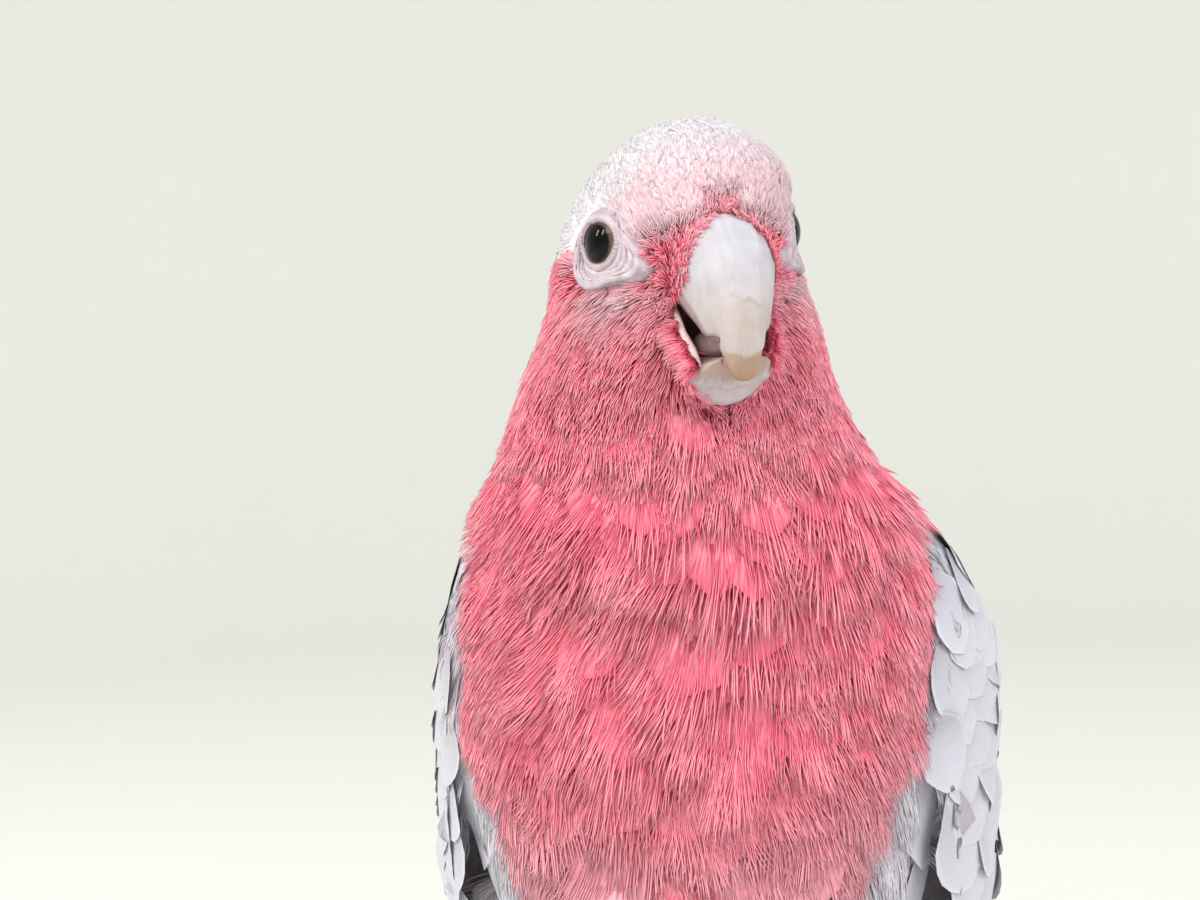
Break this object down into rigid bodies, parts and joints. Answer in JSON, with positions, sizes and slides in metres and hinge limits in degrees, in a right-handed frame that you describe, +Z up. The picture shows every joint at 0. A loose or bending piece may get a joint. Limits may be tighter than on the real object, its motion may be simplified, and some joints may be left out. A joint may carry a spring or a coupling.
{
  "type": "galah",
  "caption": "Life-size still galah cockatoo standing upright on its feet and tail tip, wings folded, head turned to its left, bill open.",
  "frame": {"origin": "centre of the bounding box's base, on the floor between the feet and the tail", "axes": "+Z up, the bird faces -Y, its left is +X and its tail runs towards +Y"},
  "size_m": [0.1094, 0.2454, 0.24],
  "materials": {
    "rose_plumage": "soft rose-pink contour feathers, white to pale pink on the crown",
    "grey_plumage": "pale silver-grey vaned feathers, darker towards wing and tail tips",
    "scaly_skin": "dry grey scaly skin of the feet",
    "eye": "wet, dark brown iris and black pupil",
    "bill": "satin bone-coloured horn",
    "tongue": "moist grey-pink flesh",
    "claw": "satin dark grey horn"
  },
  "bodies": {
    "root": {"head": "rose_plumage", "neck": "rose_plumage", "trunk": "rose_plumage", "tail": "grey_plumage", "wing_left": "grey_plumage", "wing_right": "grey_plumage", "thigh_left": "rose_plumage", "thigh_right": "rose_plumage", "foot_left": "scaly_skin", "foot_right": "scaly_skin", "eye_left": "eye", "eye_right": "eye", "bill_upper": "bill", "bill_lower": "bill", "tongue": "tongue", "claw_left_inner_front": "claw", "claw_left_outer_front": "claw", "claw_left_outer_back": "claw", "claw_left_inner_back": "claw", "claw_right_inner_front": "claw", "claw_right_outer_front": "claw", "claw_right_outer_back": "claw", "claw_right_inner_back": "claw"}
  },
  "joints": []
}
